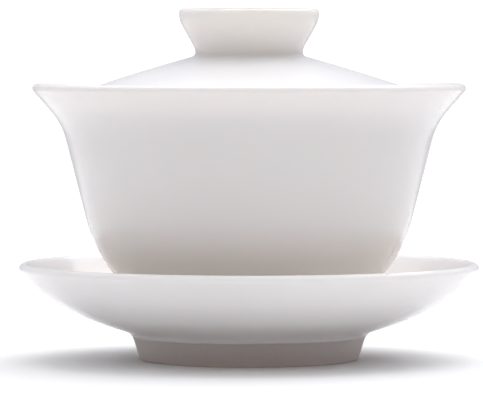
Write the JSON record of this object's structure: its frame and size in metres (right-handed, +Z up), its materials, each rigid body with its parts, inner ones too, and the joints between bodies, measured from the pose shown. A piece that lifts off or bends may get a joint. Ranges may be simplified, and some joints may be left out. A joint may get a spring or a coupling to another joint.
{
  "type": "gaiwan",
  "caption": "White porcelain lidded tea bowl on a footed saucer, with a flared mouth and a hollow flared knob on a domed lid.",
  "frame": {"origin": "middle of the circle on which the saucer's foot ring stands, at table height", "axes": "+Z up along the common axis of saucer, bowl and lid; the object is round, so +X and +Y are any two directions across it"},
  "size_m": [0.1062, 0.1062, 0.0811],
  "materials": {
    "saucer_porcelain": "clear glaze over white porcelain, bare biscuit on the foot ring",
    "bowl_porcelain": "clear glaze over white porcelain, bare biscuit on the foot ring",
    "lid_porcelain": "clear glaze over white porcelain"
  },
  "bodies": {
    "saucer": {"saucer": "saucer_porcelain"},
    "bowl": {"bowl": "bowl_porcelain"},
    "lid": {"lid": "lid_porcelain"}
  },
  "joints": [
    {"name": "bowl_lift", "type": "slide", "parent": "saucer", "child": "bowl", "axis": [0, 0, 1], "range_m": [0, 0.06]},
    {"name": "lid_lift", "type": "slide", "parent": "bowl", "child": "lid", "axis": [0, 0, 1], "range_m": [0, 0.06]}
  ]
}
